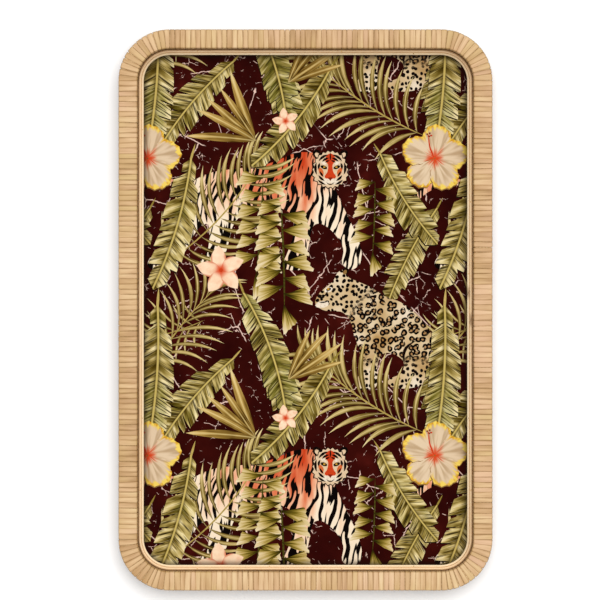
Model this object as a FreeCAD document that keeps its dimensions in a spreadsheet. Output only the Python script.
"""A rectangular serving tray with a cane-bound rim, as a parametric FreeCAD document.

The tray is a flat fibreboard base with a decor sheet laminated on top. A wooden rim frame of four rails and
four quarter-round corner blocks stands on the base's edge, dowelled together and screwed on from below. A
flat cane binding is wound round the frame, turn beside turn. Two thin round reeds run round the foot of the
rim, pinned through the sheet, and four felt pads stand under the base.

Row frame: X across the tray, Y along it, +Z up, origin on the table under the tray's centre. Millimetres.
"""

import FreeCAD
import Part

import math
import os
import re

import Sketcher

V = FreeCAD.Vector
UP = V(0, 0, 1)

# Alias, value, meaning. Angles are in degrees, counts are whole, everything else is in millimetres.
DRIVING = [
    ("tray_length", 450, "overall, along Y"),
    ("tray_width", 300, "overall, along X"),
    ("tray_corner", 41, "outer corner radius in plan"),
    ("rim_width", 15.1, "bound rim, seen from above"),
    ("rim_height", 26, "bound rim, above the base"),
    ("peel_thick", 1.1, "thickness of the binding cane"),
    ("core_round", 0.6, "rounding of the wooden core's long edges"),
    ("pad_thick", 2, "felt pad"),
    ("pad_diameter", 18, "felt pad"),
    ("pad_inset", 34, "from the tray's sides to a pad's centre"),
    ("board_thick", 5, "base board"),
    ("board_inset", 1.6, "base board's edge, in from the rim's outer face"),
    ("board_chamfer", 0.8, "broken lower edge of the base board"),
    ("sheet_thick", 0.5, "decor sheet"),
    ("sheet_gap", 0.4, "round the sheet, inside the rim"),
    ("reed_diameter", 1.95, "round reed"),
    ("reed_pitch", 2.0, "between the two reeds' centre lines"),
    ("reed_gap", 0.8, "between the rim's inner face and the outer reed"),
    ("scarf_gap", 0.25, "glue line where a reed's two ends meet"),
    ("scarf_angle", 24, "slope of that joint from the reed's run"),
    ("scarf_outer", -8, "place of the outer reed's joint along Y"),
    ("scarf_inner", 14, "place of the inner reed's joint along Y"),
    ("turns_long", 88, "turns of binding on a long rail"),
    ("turns_short", 52, "turns of binding on a short rail"),
    ("turns_corner", 13, "turns of binding on a corner block"),
    ("turn_gap", 0.18, "between two turns on a rail"),
    ("turn_gap_angle", 0.35, "between two turns on a corner"),
    ("turn_chamfer", 0.3, "worn edges of the cane"),
    ("dowel_diameter", 5, "joint dowel"),
    ("dowel_length", 20, "joint dowel"),
    ("dowel_chamfer", 0.6, "joint dowel's ends"),
    ("dowel_rise", 5, "dowels' axes, above and below the core's middle"),
    ("bore_spare", 0.5, "depth left past a dowel's or a screw's end"),
    ("screw_shank", 3, "base screw's diameter"),
    ("screw_head", 6, "base screw's head diameter"),
    ("screw_length", 16, "base screw"),
    ("screw_sunk", 0.3, "head below the underside"),
    ("screws_long", 4, "screws into a long rail"),
    ("screws_short", 2, "screws into a short rail"),
    ("screw_pitch_long", 104, "along a long rail"),
    ("screw_pitch_short", 110, "along a short rail"),
    ("brad_diameter", 0.8, "reed pin"),
    ("brad_length", 6.5, "reed pin"),
    ("brads_long", 6, "pins along a long side, on the two reeds in turn"),
    ("brads_short", 4, "pins along a short side, on the two reeds in turn"),
    ("brad_pitch", 58, "between pins"),
]

doc = FreeCAD.newDocument("cane_bound_tray")
sheet = doc.addObject("Spreadsheet::Sheet", "Dimensions")
for row, (alias, number, meaning) in enumerate(DRIVING, start=1):
    sheet.set(f"A{row}", alias)
    sheet.set(f"B{row}", str(number))
    sheet.set(f"C{row}", meaning)
    sheet.setAlias(f"B{row}", alias)
doc.recompute()

ALIASES = {alias for alias, _, _ in DRIVING}
PARTS = []


def bound(text):
    """The expression with each alias spelled as a cell of the spreadsheet."""
    return re.sub(r"[a-z_]+", lambda m: f"Dimensions.{m[0]}" if m[0] in ALIASES else m[0], text)


def size(text):
    """The number that an expression on the aliases comes to."""
    return float(sheet.evalExpression(bound(text)))


def count(alias):
    return round(size(alias))


# Heights and plan offsets that several pieces share, as expressions on the driving dimensions.
BASE_TOP = "(pad_thick + board_thick)"
RIM_MIDDLE = "(pad_thick + board_thick + rim_height / 2)"
CORE_WIDTH = "(rim_width - 2 * peel_thick)"
CORE_HEIGHT = "(rim_height - 2 * peel_thick)"
LONG_STRAIGHT = "(tray_length - 2 * tray_corner)"
SHORT_STRAIGHT = "(tray_width - 2 * tray_corner)"
RIM_LINE = "(tray_corner - rim_width / 2)"
REED_IN = {
    "outer": "(rim_width + reed_gap + reed_diameter / 2)",
    "inner": "(rim_width + reed_gap + reed_diameter / 2 + reed_pitch)",
}
REED_Z = "(pad_thick + board_thick + sheet_thick + reed_diameter / 2)"


# ---------------------------------------------------------------- sketch and feature helpers


def new_body(label):
    body = doc.addObject("PartDesign::Body", label)
    body.Label = label
    PARTS.append(body)
    return body


def new_sketch(body, name, plane="XY_Plane", rise="0", suffix=""):
    """A sketch on one of the body's own origin planes, lifted along its normal by an expression."""
    sketch = body.newObject("Sketcher::SketchObject", name + suffix)
    support = [feature for feature in body.Origin.OriginFeatures if feature.Role == plane]
    sketch.AttachmentSupport = [(support[0], "")]
    sketch.MapMode = "FlatFace"
    sketch.setExpression("AttachmentOffset.Base.z", bound(rise))
    return sketch


def drive(sketch, constraint, name, text):
    """Adds a constraint and binds its value to an expression."""
    index = sketch.addConstraint(constraint)
    sketch.renameConstraint(index, name)
    sketch.setExpression(f"Constraints.{name}", bound(text))


def draw_rounded_rectangle(sketch, name, across, along, radius):
    """A rectangle with rounded corners about the sketch's origin. The three sizes are expressions."""
    half_x, half_y, r = size(across) / 2, size(along) / 2, size(radius)
    first = sketch.GeometryCount
    for quarter, (sx, sy) in enumerate([(1, 1), (-1, 1), (-1, -1), (1, -1)]):
        centre = V(sx * (half_x - r), sy * (half_y - r), 0)
        start = quarter * math.pi / 2
        sketch.addGeometry(Part.ArcOfCircle(Part.Circle(centre, UP, r), start, start + math.pi / 2))
    x, y = half_x - r, half_y - r
    for a, b in [((x, half_y), (-x, half_y)), ((-half_x, y), (-half_x, -y)),
                 ((-x, -half_y), (x, -half_y)), ((half_x, -y), (half_x, y))]:
        sketch.addGeometry(Part.LineSegment(V(*a, 0), V(*b, 0)))
    arcs, lines = range(first, first + 4), range(first + 4, first + 8)
    for k in range(4):
        sketch.addConstraint(Sketcher.Constraint("Tangent", arcs[k], 2, lines[k], 1))
        sketch.addConstraint(Sketcher.Constraint("Tangent", lines[k], 2, arcs[(k + 1) % 4], 1))
    for k in range(3):
        sketch.addConstraint(Sketcher.Constraint("Equal", arcs[k], arcs[k + 1]))
    sketch.addConstraint(Sketcher.Constraint("Horizontal", lines[0]))
    sketch.addConstraint(Sketcher.Constraint("Vertical", lines[1]))
    sketch.addConstraint(Sketcher.Constraint("Symmetric", arcs[0], 3, arcs[2], 3, -1, 1))
    drive(sketch, Sketcher.Constraint("Radius", arcs[0], r), f"{name}_radius", radius)
    width = Sketcher.Constraint("DistanceX", lines[1], 1, lines[3], 1, 2 * half_x)
    drive(sketch, width, f"{name}_across", across)
    height = Sketcher.Constraint("DistanceY", lines[2], 1, lines[0], 1, 2 * half_y)
    drive(sketch, height, f"{name}_along", along)


def draw_circle(sketch, name, x, y, diameter):
    """A circle whose centre and diameter are expressions."""
    index = sketch.addGeometry(Part.Circle(V(size(x), size(y), 0), UP, size(diameter) / 2))
    drive(sketch, Sketcher.Constraint("Diameter", index, size(diameter)), f"{name}_diameter", diameter)
    for kind, text in (("DistanceX", x), ("DistanceY", y)):
        distance = Sketcher.Constraint(kind, -1, 1, index, 3, size(text))
        drive(sketch, distance, f"{name}_{kind[-1].lower()}", text)


def draw_outline(sketch, points):
    """A closed outline of straight lines through the points, which are pairs of expressions."""
    places = [V(size(x), size(y), 0) for x, y in points]
    first = sketch.GeometryCount
    for k, place in enumerate(places):
        sketch.addGeometry(Part.LineSegment(place, places[(k + 1) % len(places)]))
    for k, (x, y) in enumerate(points):
        before = first + (k - 1) % len(points)
        sketch.addConstraint(Sketcher.Constraint("Coincident", before, 2, first + k, 1))
        for kind, text in (("DistanceX", x), ("DistanceY", y)):
            distance = Sketcher.Constraint(kind, -1, 1, first + k, 1, size(text))
            drive(sketch, distance, f"{kind[-1].lower()}{k}", text)


def pad(body, sketch, length, both_ways=False):
    feature = body.newObject("PartDesign::Pad", "Pad")
    feature.Profile = sketch
    feature.SideType = "Symmetric" if both_ways else "One side"
    feature.setExpression("Length", bound(length))
    doc.recompute()
    return feature


def pocket(body, sketch, depth=None, upwards=False):
    """Cuts the sketch's outlines out of the body, right through unless a depth is given."""
    before = body.Shape.Volume
    feature = body.newObject("PartDesign::Pocket", "Pocket")
    feature.Profile = sketch
    feature.Reversed = upwards
    if depth is None:
        feature.Type = "ThroughAll"
        feature.SideType = "Symmetric"
    else:
        feature.setExpression("Length", bound(depth))
    doc.recompute()
    if not body.Shape.Volume < before - 1e-6:
        raise RuntimeError(f"a pocket in {body.Label} cut nothing")
    return feature


def dress(body, kind, base, edges, property_name, text):
    """A Fillet or Chamfer of the chosen edges of a feature."""
    feature = body.newObject(f"PartDesign::{kind}", kind)
    feature.Base = (base, edges)
    feature.setExpression(property_name, bound(text))
    doc.recompute()
    return feature


def edges_where(feature, test):
    """The names of the feature's edges for which test(edge) holds."""
    return [f"Edge{k}" for k, edge in enumerate(feature.Shape.Edges, start=1) if test(edge)]


def spread(number, pitch):
    """Places at an even pitch on both sides of zero."""
    return [(k - (number - 1) / 2) * pitch for k in range(number)]


def group(label, shapes):
    """One sub-part of several separate solids."""
    feature = doc.addObject("Part::Feature", label)
    feature.Label = label
    feature.Shape = Part.Compound(shapes)
    PARTS.append(feature)
    return feature


def copies(master, placements):
    found = []
    for placement in placements:
        shape = master.copy()
        shape.Placement = placement
        found.append(shape)
    return found


def at(x, y, z, turn=0):
    return FreeCAD.Placement(V(x, y, z), FreeCAD.Rotation(UP, turn))


# ---------------------------------------------------------------- where the fasteners go


def screw_places():
    """Plan position of each base screw, as pairs of expressions, on the rails' centre lines."""
    side, end = "(tray_width / 2 - rim_width / 2)", "(tray_length / 2 - rim_width / 2)"
    long_run = spread(count("screws_long"), 1)
    short_run = spread(count("screws_short"), 1)
    places = [(f"{s} * {side}", f"{k} * screw_pitch_long") for s in (-1, 1) for k in long_run]
    return places + [(f"{k} * screw_pitch_short", f"{s} * {end}") for s in (-1, 1) for k in short_run]


def brad_places(reed):
    """Plan position of each pin in one reed. The pins go into the outer and the inner reed in turn."""
    turn = ("outer", "inner").index(reed)
    side, end = f"(tray_width / 2 - {REED_IN[reed]})", f"(tray_length / 2 - {REED_IN[reed]})"
    long_run = spread(count("brads_long"), 1)[turn::2]
    short_run = spread(count("brads_short"), 1)[turn::2]
    places = [(f"{s} * {side}", f"{k} * brad_pitch") for s in (-1, 1) for k in long_run]
    return places + [(f"{k} * brad_pitch", f"{s} * {end}") for s in (-1, 1) for k in short_run]


def draw_holes(sketch, places, diameter):
    for k, (x, y) in enumerate(places):
        draw_circle(sketch, f"hole{k}", x, y, diameter)


def bore_for_brads(body, places, top="0", depth=None):
    """Holes of the pins' own diameter, right through the body unless a depth below the top is given."""
    holes = new_sketch(body, "BradHoles", rise=top)
    draw_holes(holes, places, "brad_diameter")
    pocket(body, holes, depth)


# ---------------------------------------------------------------- base, decor sheet and felt pads


def make_base_board():
    body = new_body("base_board")
    outline = new_sketch(body, "BoardOutline", rise="pad_thick")
    inset = "board_inset"
    draw_rounded_rectangle(outline, "board", f"tray_width - 2 * {inset}", f"tray_length - 2 * {inset}",
                           f"tray_corner - {inset}")
    slab = pad(body, outline, "board_thick")
    underside = size("pad_thick")
    lower = edges_where(slab, lambda e: abs(e.BoundBox.ZMax - underside) < 1e-6)
    dress(body, "Chamfer", slab, lower, "Size", "board_chamfer")

    centres = new_sketch(body, "ScrewCentres", rise="pad_thick")
    draw_holes(centres, screw_places(), "screw_shank")
    doc.recompute()
    before = body.Shape.Volume
    hole = body.newObject("PartDesign::Hole", "ScrewHoles")
    hole.Profile = centres
    hole.Reversed = True
    hole.DepthType = "ThroughAll"
    hole.HoleCutType = "Countersink"
    hole.HoleCutCountersinkAngle = 90
    hole.setExpression("Diameter", bound("screw_shank"))
    hole.setExpression("HoleCutDiameter", bound("screw_head + 2 * screw_sunk"))
    doc.recompute()
    if not body.Shape.Volume < before - 1:
        raise RuntimeError("the screw holes cut nothing")
    all_brads = brad_places("outer") + brad_places("inner")
    bore_for_brads(body, all_brads, BASE_TOP, "brad_length - reed_diameter - sheet_thick")


def make_print_sheet():
    body = new_body("print_sheet")
    outline = new_sketch(body, "SheetOutline", rise=BASE_TOP)
    inset = "(rim_width + sheet_gap)"
    draw_rounded_rectangle(outline, "sheet", f"tray_width - 2 * {inset}", f"tray_length - 2 * {inset}",
                           f"tray_corner - {inset}")
    pad(body, outline, "sheet_thick")
    bore_for_brads(body, brad_places("outer") + brad_places("inner"))


def make_foot_pad(label, sx, sy):
    body = new_body(label)
    disc = new_sketch(body, "PadOutline", suffix=label)
    draw_circle(disc, "pad", "0", "0", "pad_diameter")
    slab = pad(body, disc, "pad_thick")
    rim = edges_where(slab, lambda e: e.BoundBox.ZMax < 1e-6)
    dress(body, "Fillet", slab, rim, "Radius", "pad_thick / 5")
    across, along = size("tray_width / 2 - pad_inset"), size("tray_length / 2 - pad_inset")
    body.Placement.Base = V(sx * across, sy * along, 0)


# ---------------------------------------------------------------- the rim's wooden frame


def draw_dowel_holes(sketch, x):
    """A joint's two dowel bores, one above the other. x is where the core's middle lies in the sketch."""
    for name, sign in (("upper", ""), ("lower", "-")):
        draw_circle(sketch, name, x, f"{sign}dowel_rise", "dowel_diameter")


BORE_DEPTH = "dowel_length / 2 + bore_spare"


def make_rail(label, straight, screws, pitch, placement):
    """A straight rail along its own Y axis, centred on the origin, with dowel bores in its ends."""
    body = new_body(label)
    section = new_sketch(body, "RailSection", "XZ_Plane")
    draw_rounded_rectangle(section, "core", CORE_WIDTH, CORE_HEIGHT, "core_round")
    pad(body, section, straight, both_ways=True)
    # The XZ plane's normal points along -Y, so a rise of half the length is the end at -Y.
    for name, rise, inwards in (("NearEnd", f"{straight} / 2", False), ("FarEnd", f"-{straight} / 2", True)):
        end = new_sketch(body, name, "XZ_Plane", rise)
        draw_dowel_holes(end, "0")
        pocket(body, end, BORE_DEPTH, upwards=inwards)
    pilot = new_sketch(body, "Pilots", rise=f"-{CORE_HEIGHT} / 2")
    draw_holes(pilot, [("0", f"{k} * {pitch}") for k in spread(screws, 1)], "screw_shank")
    pocket(body, pilot, "screw_sunk + screw_length + bore_spare - board_thick - peel_thick", upwards=True)
    body.Placement = placement


def make_corner_block(label, x, y, turn):
    """A quarter ring about its own Z axis, from the X axis to the Y axis, with dowel bores in its ends."""
    body = new_body(label)
    section = new_sketch(body, "BlockSection", "XZ_Plane")
    draw_rounded_rectangle(section, "core", CORE_WIDTH, CORE_HEIGHT, "core_round")
    # The section is drawn about the sketch's origin. The sketch is then slid out to the rim's centre line.
    section.setExpression("AttachmentOffset.Base.x", bound(RIM_LINE))
    ring = body.newObject("PartDesign::Revolution", "Revolution")
    ring.Profile = section
    ring.ReferenceAxis = ([f for f in body.Origin.OriginFeatures if f.Role == "Z_Axis"][0], [""])
    ring.Angle = 90
    doc.recompute()
    start = new_sketch(body, "StartEnd", "XZ_Plane")
    draw_dowel_holes(start, RIM_LINE)
    pocket(body, start, BORE_DEPTH, upwards=False)
    finish = new_sketch(body, "FinishEnd", "YZ_Plane")
    draw_dowel_holes(finish, RIM_LINE)
    pocket(body, finish, BORE_DEPTH, upwards=True)
    body.Placement = at(x, y, size(RIM_MIDDLE), turn)


def make_frame():
    side, end = size("(tray_width - rim_width) / 2"), size("(tray_length - rim_width) / 2")
    middle = size(RIM_MIDDLE)
    long_screws, short_screws = count("screws_long"), count("screws_short")
    make_rail("rail_left", LONG_STRAIGHT, long_screws, "screw_pitch_long", at(-side, 0, middle))
    make_rail("rail_right", LONG_STRAIGHT, long_screws, "screw_pitch_long", at(side, 0, middle))
    make_rail("rail_front", SHORT_STRAIGHT, short_screws, "screw_pitch_short", at(0, -end, middle, 90))
    make_rail("rail_back", SHORT_STRAIGHT, short_screws, "screw_pitch_short", at(0, end, middle, 90))
    for label, sx, sy, turn in CORNERS:
        make_corner_block(f"corner_block_{label}", sx * size(SHORT_STRAIGHT) / 2,
                          sy * size(LONG_STRAIGHT) / 2, turn)


CORNERS = [("back_right", 1, 1, 0), ("back_left", -1, 1, 90),
           ("front_left", -1, -1, 180), ("front_right", 1, -1, 270)]


# ---------------------------------------------------------------- fasteners


def revolved(label, points):
    """A solid of revolution about Z from an outline in the XZ plane. It is a master that groups copy."""
    body = doc.addObject("PartDesign::Body", label)
    outline = new_sketch(body, "Outline", "XZ_Plane")
    draw_outline(outline, points)
    feature = body.newObject("PartDesign::Revolution", "Revolution")
    feature.Profile = outline
    feature.ReferenceAxis = ([f for f in body.Origin.OriginFeatures if f.Role == "Z_Axis"][0], [""])
    feature.Angle = 360
    doc.recompute()
    return body


def make_dowels():
    radius, end, bevel = "dowel_diameter / 2", "dowel_length / 2", "dowel_chamfer"
    master = revolved("dowel_master", [
        ("0", f"-{end}"), (f"{radius} - {bevel}", f"-{end}"), (radius, f"{bevel} - {end}"),
        (radius, f"{end} - {bevel}"), (f"{radius} - {bevel}", end), ("0", end)])
    along_y, along_x = FreeCAD.Rotation(V(1, 0, 0), 90), FreeCAD.Rotation(V(0, 1, 0), 90)
    placements = []
    for sx in (-1, 1):
        for sy in (-1, 1):
            for rise in (-1, 1):
                z = size(RIM_MIDDLE) + rise * size("dowel_rise")
                side, straight = size("(tray_width - rim_width) / 2"), size(LONG_STRAIGHT) / 2
                placements.append(FreeCAD.Placement(V(sx * side, sy * straight, z), along_y))
                end_y, straight = size("(tray_length - rim_width) / 2"), size(SHORT_STRAIGHT) / 2
                placements.append(FreeCAD.Placement(V(sx * straight, sy * end_y, z), along_x))
    group("corner_dowels", copies(master.Shape, placements))


def make_base_screws():
    """Countersunk wood screws with a cross recess, heads down."""
    head, shank, tip = "screw_head / 2", "screw_shank / 2", "screw_length"
    master = revolved("screw_master", [
        ("0", "0"), (head, "0"), (shank, f"{head} - {shank}"), (shank, f"{tip} - screw_shank"), ("0", tip)])
    cross = new_sketch(master, "CrossRecess")
    arm, half = "screw_head / 4", "screw_head / 16"
    corners = []
    for sx, sy, sideways in ((1, 1, True), (-1, 1, False), (-1, -1, True), (1, -1, False)):
        near, far = (f"{sx} * {half}", f"{sy} * {half}"), None
        tall, wide = (f"{sx} * {half}", f"{sy} * {arm}"), (f"{sx} * {arm}", f"{sy} * {half}")
        corners += [wide, near, tall] if sideways else [tall, near, wide]
    draw_outline(cross, corners)
    pocket(master, cross, "screw_head / 5", upwards=True)
    z = size("pad_thick + screw_sunk")
    group("base_screws", copies(master.Shape, [at(size(x), size(y), z) for x, y in screw_places()]))


def make_reed_brads():
    """Fine pins with a small domed head, flush with the top of the reed."""
    radius, foot = "brad_diameter / 2", "brad_length"
    master = revolved("brad_master", [
        ("0", f"-{foot}"), (radius, f"brad_diameter - {foot}"), (radius, f"-{radius} / 2"),
        (f"{radius} / 2", "0"), ("0", "0")])
    z = size(f"{REED_Z} + reed_diameter / 2")
    places = brad_places("outer") + brad_places("inner")
    group("reed_brads", copies(master.Shape, [at(size(x), size(y), z) for x, y in places]))


# ---------------------------------------------------------------- the cane binding and the reeds


def draw_turn_section(sketch, slide):
    """The flat cane seen along the rim: a band round the core, its outer corners rounded with the core's."""
    draw_rounded_rectangle(sketch, "outside", "rim_width", "rim_height", "core_round + peel_thick")
    draw_rounded_rectangle(sketch, "inside", CORE_WIDTH, CORE_HEIGHT, "core_round")
    sketch.setExpression("AttachmentOffset.Base.x", bound(slide))


def on_outside(edge, slide):
    """Whether an edge of a turn lies on the band's outer face and not on the core."""
    point = edge.valueAt((edge.FirstParameter + edge.LastParameter) / 2)
    across, up = abs(math.hypot(point.x, point.y) - slide) if slide else abs(point.x), abs(point.z)
    return across > size(f"{CORE_WIDTH} / 2") + 0.01 or up > size(f"{CORE_HEIGHT} / 2") + 0.01


def bevel_turn(body, feature, slide, ends):
    """Breaks the cane's two outer edges. ends(edge) tells whether an edge lies in one of its end faces."""
    chosen = edges_where(feature, lambda e: ends(e) and on_outside(e, slide))
    dress(body, "Chamfer", feature, chosen, "Size", "turn_chamfer")


def straight_turn(name, straight, turns):
    """One turn on a rail, centred on the origin, and its pitch."""
    pitch = f"{straight} / {turns}"
    body = doc.addObject("PartDesign::Body", name)
    section = new_sketch(body, "TurnSection", "XZ_Plane")
    draw_turn_section(section, "0")
    band = pad(body, section, f"{pitch} - turn_gap", both_ways=True)
    half = size(f"({pitch} - turn_gap) / 2")
    bevel_turn(body, band, 0, lambda e: e.BoundBox.YLength < 1e-6 and abs(abs(e.BoundBox.YMax) - half) < 1e-6)
    return body.Shape, size(pitch)


def corner_turn():
    """One turn on a corner block, a wedge centred on the X axis, and its pitch in degrees."""
    body = doc.addObject("PartDesign::Body", "corner_turn_master")
    section = new_sketch(body, "TurnSection", "XZ_Plane")
    draw_turn_section(section, RIM_LINE)
    wedge = body.newObject("PartDesign::Revolution", "Revolution")
    wedge.Profile = section
    wedge.ReferenceAxis = ([f for f in body.Origin.OriginFeatures if f.Role == "Z_Axis"][0], [""])
    wedge.Midplane = True
    wedge.setExpression("Angle", bound("90 / turns_corner - turn_gap_angle"))
    doc.recompute()
    half = math.radians(size("90 / turns_corner - turn_gap_angle") / 2)

    def in_end_face(edge):
        return all(abs(abs(math.atan2(p.y, p.x)) - half) < 1e-6
                   for p in (edge.valueAt(edge.FirstParameter), edge.valueAt(edge.LastParameter)))

    bevel_turn(body, wedge, size(RIM_LINE), in_end_face)
    return body.Shape, size("90 / turns_corner")


def pierce(shapes):
    """The turns, with those that a base screw passes through drilled at its diameter."""
    drills = []
    for x, y in screw_places():
        drills.append(Part.makeCylinder(size("screw_shank / 2"), size("screw_length"),
                                        V(size(x), size(y), 0)))
    drilled = []
    for shape in shapes:
        hits = [drill for drill in drills if drill.BoundBox.intersect(shape.BoundBox)]
        drilled.append(shape.cut(hits) if hits else shape)
    return drilled


def make_bindings():
    middle = size(RIM_MIDDLE)
    side, end = size("(tray_width - rim_width) / 2"), size("(tray_length - rim_width) / 2")
    turn, pitch = straight_turn("long_turn_master", LONG_STRAIGHT, "turns_long")
    run = spread(count("turns_long"), pitch)
    for label, x in (("left", -side), ("right", side)):
        group(f"binding_{label}", pierce(copies(turn, [at(x, y, middle) for y in run])))
    turn, pitch = straight_turn("short_turn_master", SHORT_STRAIGHT, "turns_short")
    run = spread(count("turns_short"), pitch)
    for label, y in (("front", -end), ("back", end)):
        group(f"binding_{label}", pierce(copies(turn, [at(x, y, middle, 90) for x in run])))
    turn, pitch = corner_turn()
    for label, sx, sy, start in CORNERS:
        x, y = sx * size(SHORT_STRAIGHT) / 2, sy * size(LONG_STRAIGHT) / 2
        angles = [start + (k + 0.5) * pitch for k in range(count("turns_corner"))]
        group(f"binding_corner_{label}", copies(turn, [at(x, y, middle, angle) for angle in angles]))


def make_reed(reed):
    """A round reed bent into a loop at the foot of the rim, its two ends meeting in a slanted scarf joint."""
    body = new_body(f"bead_reed_{reed}")
    inset = REED_IN[reed]
    path = new_sketch(body, "ReedLine", rise=REED_Z)
    draw_rounded_rectangle(path, "line", f"tray_width - 2 * {inset}", f"tray_length - 2 * {inset}",
                           f"tray_corner - {inset}")
    section = new_sketch(body, "ReedSection", "XZ_Plane")
    draw_circle(section, "reed", f"tray_width / 2 - {inset}", REED_Z, "reed_diameter")
    doc.recompute()
    pipe = body.newObject("PartDesign::AdditivePipe", "ReedLoop")
    pipe.Profile = section
    pipe.Spine = (path, [f"Edge{k + 1}" for k in range(8)])
    doc.recompute()

    # The joint is a thin slanted slot: half its slope's run each side of its place along Y.
    middle, place, half = f"(tray_width / 2 - {inset})", f"scarf_{reed}", "reed_diameter"
    run, slot = f"({half} / tan(scarf_angle))", "(scarf_gap / sin(scarf_angle) / 2)"
    joint = new_sketch(body, "ScarfJoint", rise=REED_Z)
    draw_outline(joint, [
        (f"{middle} - {half}", f"{place} - {run} - {slot}"),
        (f"{middle} + {half}", f"{place} + {run} - {slot}"),
        (f"{middle} + {half}", f"{place} + {run} + {slot}"),
        (f"{middle} - {half}", f"{place} - {run} + {slot}")])
    pocket(body, joint)
    bore_for_brads(body, brad_places(reed))


# ---------------------------------------------------------------- build, check and write


def find_faults():
    faults = [obj.Label for obj in doc.Objects if {"Invalid", "Error"} & set(obj.State)]
    for part in PARTS:
        if part.Shape.isNull() or not part.Shape.isValid() or not part.Shape.Solids:
            faults.append(f"{part.Label} has no valid solid")
    return faults


make_base_board()
make_print_sheet()
for label, sx, sy, _ in CORNERS:
    make_foot_pad(f"foot_pad_{label}", sx, sy)
make_frame()
make_dowels()
make_base_screws()
make_bindings()
make_reed("outer")
make_reed("inner")
make_reed_brads()
doc.recompute()

faults = find_faults()
if faults:
    raise RuntimeError(f"the document has faults: {faults}")

os.makedirs("parts", exist_ok=True)
for part in PARTS:
    part.Shape.exportStep(f"parts/{part.Label}.step")
    box = part.Shape.BoundBox
    print(f"{part.Label:30} {len(part.Shape.Solids):3} solids {part.Shape.Volume:10.1f} mm3 "
          f"{box.XLength:6.1f} x {box.YLength:6.1f} x {box.ZLength:5.1f}")
